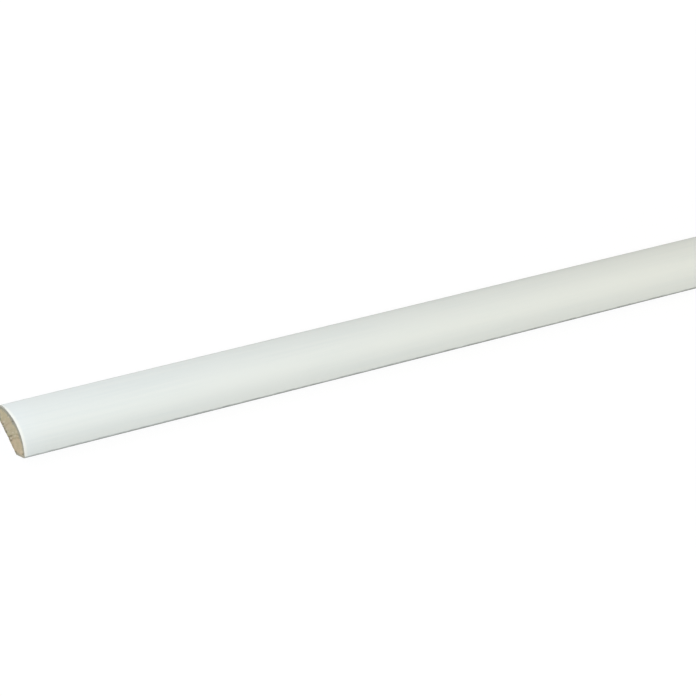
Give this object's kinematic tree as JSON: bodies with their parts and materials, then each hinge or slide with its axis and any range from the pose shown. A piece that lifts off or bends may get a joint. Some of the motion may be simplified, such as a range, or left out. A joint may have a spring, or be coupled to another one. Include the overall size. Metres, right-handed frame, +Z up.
{
  "type": "quarter-round wood moulding",
  "caption": "Straight quarter-round wood moulding: white coated round face, narrow flats for floor and wall, raw back cut at 45 degrees.",
  "frame": {"origin": "middle of the raw back's flat face, halfway along the stock, where it rests on the floor", "axes": "+X along the stock, +Y towards the flat that meets the wall, +Z up out of the back through the crown of the round face"},
  "size_m": [1, 0.0208, 0.0079],
  "materials": {
    "coated_softwood": "smooth satin white coat on the round face and flats, raw wood on the back and sawn ends"
  },
  "bodies": {
    "root": {"quarter_round": "coated_softwood"}
  },
  "joints": []
}
